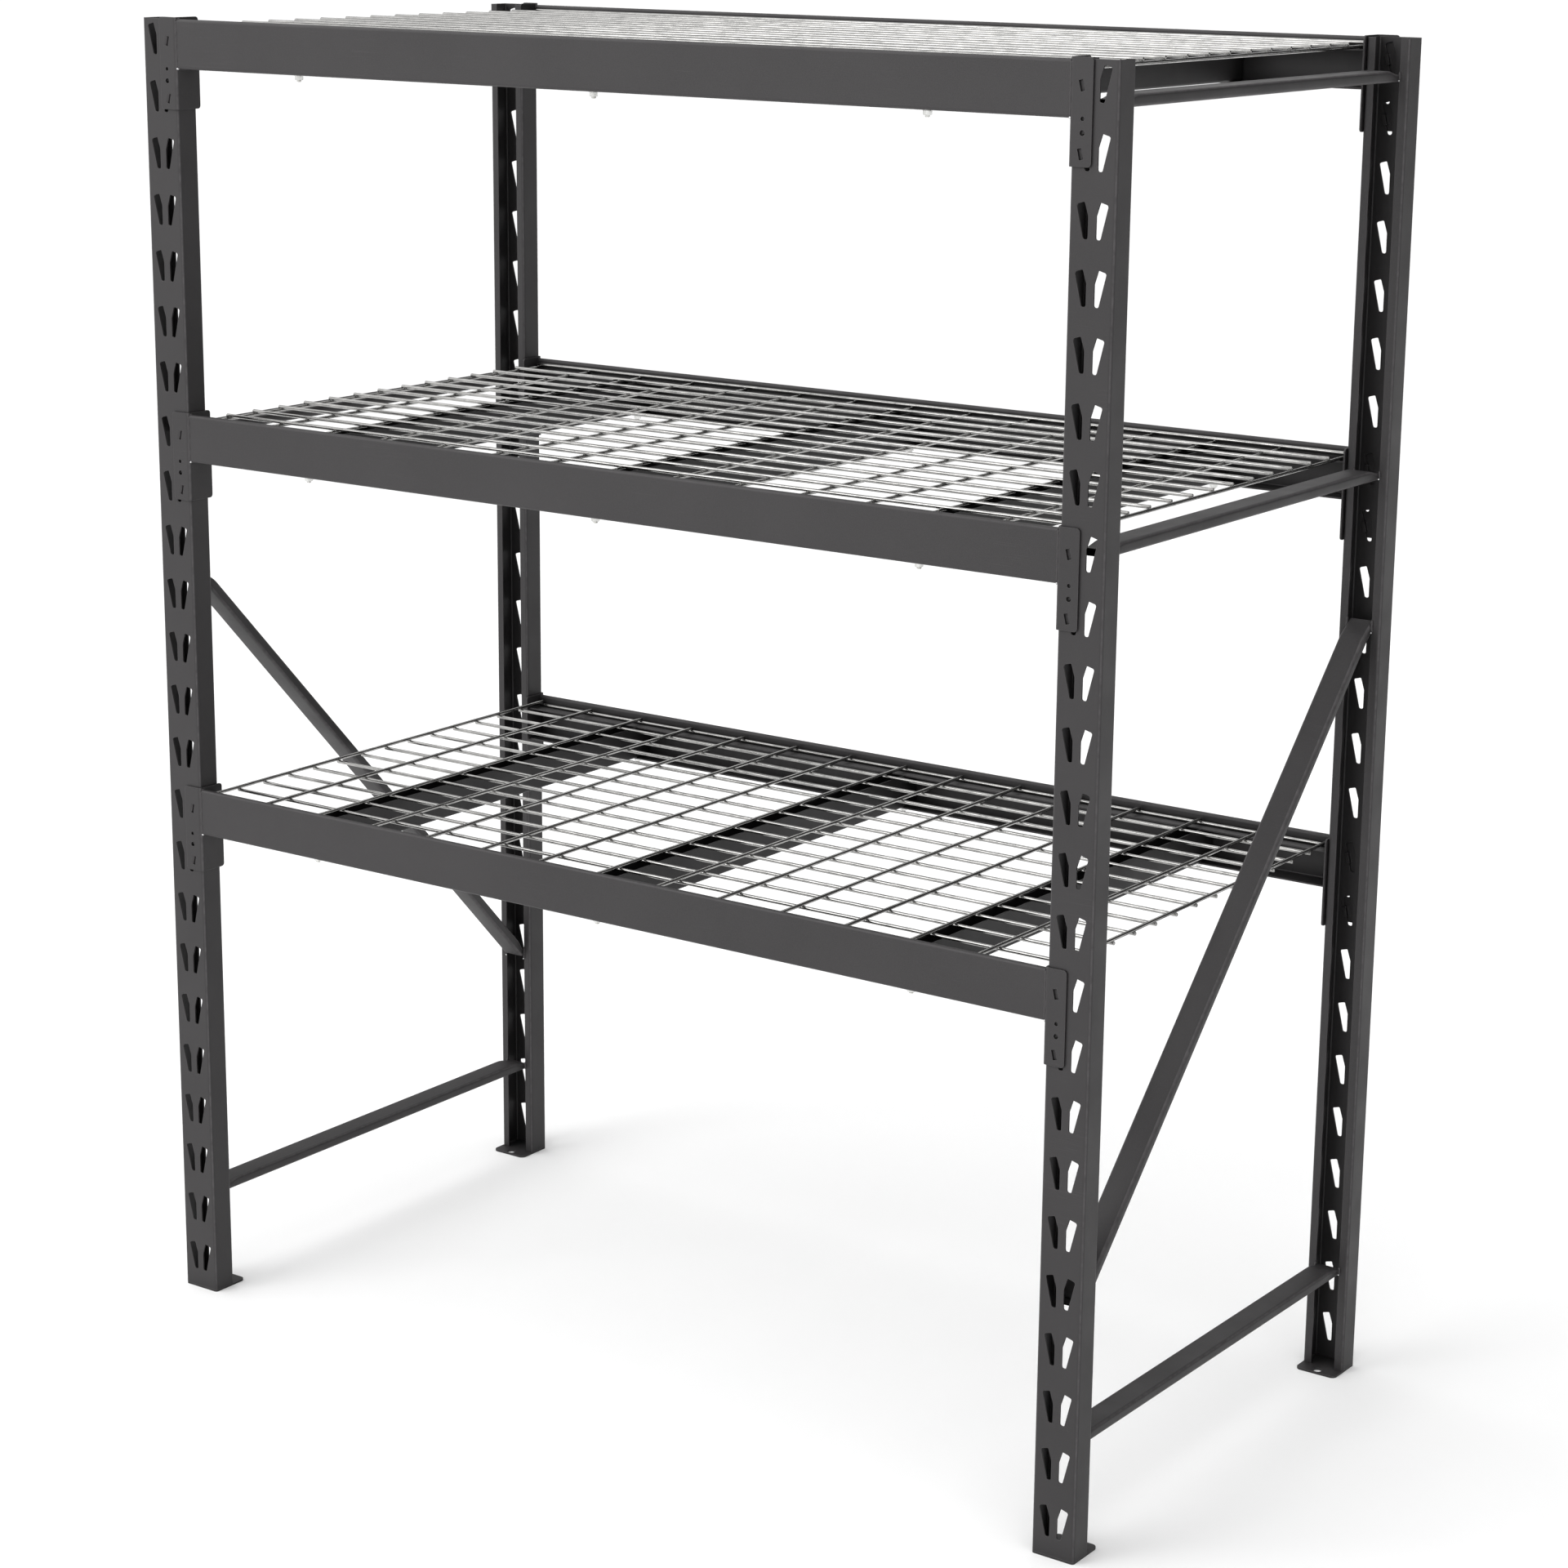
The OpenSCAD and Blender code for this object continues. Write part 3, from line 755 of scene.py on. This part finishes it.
def turned_ring(centre, radius_at):
    """Level ring whose radius is a function of the angle."""
    ring = []
    for k in range(TURN_SIDES):
        a = math.tau * k / TURN_SIDES
        r = radius_at(a)
        ring.append(centre + Vector((r * math.cos(a), r * math.sin(a), 0)))
    return ring


def hexagon_radius(flats, turn):
    """Radius of a hexagon at an angle; flats is the distance across two of its flat sides."""
    def radius(a):
        slice_a = (a - turn + math.pi / 6) % (math.pi / 3) - math.pi / 6
        return flats / 2 / math.cos(slice_a)
    return radius


def add_hexagon(shape, centre, low, high, flats, turn, chamfer_low, chamfer_high):
    """Hexagon between two heights, its corners turned off at the chosen ends."""
    outline = hexagon_radius(flats, turn)
    rings = []
    for z, r in (
        (low, flats * (0.47 if chamfer_low else 0.6)),
        (low + 0.35 * MM, flats * (0.53 if chamfer_low else 0.6)),
        (low + 0.8 * MM, flats),
        (high - 0.8 * MM, flats),
        (high - 0.35 * MM, flats * (0.53 if chamfer_high else 0.6)),
        (high, flats * (0.47 if chamfer_high else 0.6)),
    ):
        rings.append(turned_ring(centre + Vector((0, 0, z)), lambda a, r=r: min(outline(a), r)))
    shape.loft(rings)


def make_fasteners(level, chance):
    """Hexagon bolts with cut threads, and flanged nuts, in place of the CAD nodes of one level."""
    bolt_low, bolt_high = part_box(f"{level}_support_bolts")
    nut_low, nut_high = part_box(f"{level}_support_nuts")
    support_low, support_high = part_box(f"{level}_support_right")
    spacing = (support_low.x + support_high.x) / 2
    flange_r = (nut_high.x - nut_low.x) / 2 - spacing
    bolts, nuts = Shape(), Shape()
    for x in (-spacing, 0.0, spacing):
        for y in (nut_low.y + flange_r, nut_high.y - flange_r):
            centre = Vector((x, y, 0))
            turn = chance.uniform(0, math.pi / 3)
            start = chance.uniform(0, math.tau)
            head_z = bolt_high.z - HEAD_HEIGHT
            add_hexagon(bolts, centre, head_z, bolt_high.z, FLATS, math.pi / 6, False, True)
            rings = []
            count = round((head_z - bolt_low.z) / THREAD_STEP)
            for i in range(count + 1):
                z = bolt_low.z + THREAD_STEP * i
                fade = min(1.0, (z - bolt_low.z) / (0.6 * MM))

                def radius(a, z=z, fade=fade):
                    phase = (z / THREAD_PITCH - (a + start) / math.tau) % 1.0
                    return THREAD_RADIUS * (0.86 + 0.14 * fade) - THREAD_DEPTH * abs(2 * phase - 1)

                rings.append(turned_ring(centre + Vector((0, 0, z)), radius))
            bolts.loft(rings)
            middle = nut_high.z - FLANGE_HEIGHT
            rings = [
                turned_ring(centre + Vector((0, 0, z)), lambda a, r=r: r)
                for z, r in (
                    (nut_high.z, flange_r * 0.95),
                    (nut_high.z - 0.3 * MM, flange_r),
                    (nut_high.z - 0.9 * MM, flange_r * 0.99),
                    (middle, flange_r * 0.82),
                )
            ]
            nuts.loft([ring[::-1] for ring in rings])
            add_hexagon(nuts, centre, nut_low.z, middle + 0.4 * MM, FLATS, turn, True, False)
    for kind, shape, material in (
        ("bolt", bolts, zinc_bolt),
        ("nut", nuts, zinc_nut),
    ):
        name = f"{level}_threaded_{kind}_set"
        piece = new_piece(
            name, shape.verts, shape.faces, material, f"{level}_shelf"
        )
        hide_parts(f"{level}_support_{kind}s")
        sharpen(piece, 28)


# ---------------------------------------------------------------- dress the CAD nodes


def dress(node, material):
    mesh = frame["nodes"][node]
    if mesh.material_slots:
        for place in mesh.material_slots:
            place.material = material
    else:
        mesh.data.materials.append(material)


def dress_cad_nodes():
    slots = {row["node"]: row["material_slot"] for row in frame["record"]["subparts"]}
    finish = {
        "frame_coat": coat_frame,
        "plate_coat": coat_frame,
        "beam_coat": coat_beam,
        "support_coat": coat_for_shaded_supports,
        "deck_wire": zinc_wire,
        "fastener_zinc": zinc_bolt,
    }
    for node in frame["nodes"]:
        dress(node, coat_connector if "_connector_" in node else finish[slots[node]])


# ---------------------------------------------------------------- build

make_camera()
make_floor()
make_lights()
dress_cad_nodes()
make_braces()
make_frame_welds(random.Random(70))
for number, level_name in enumerate(LEVELS):
    make_deck(level_name, random.Random(40 + number))
    make_beam_welds(level_name, random.Random(50 + number))
    make_fasteners(level_name, random.Random(60 + number))
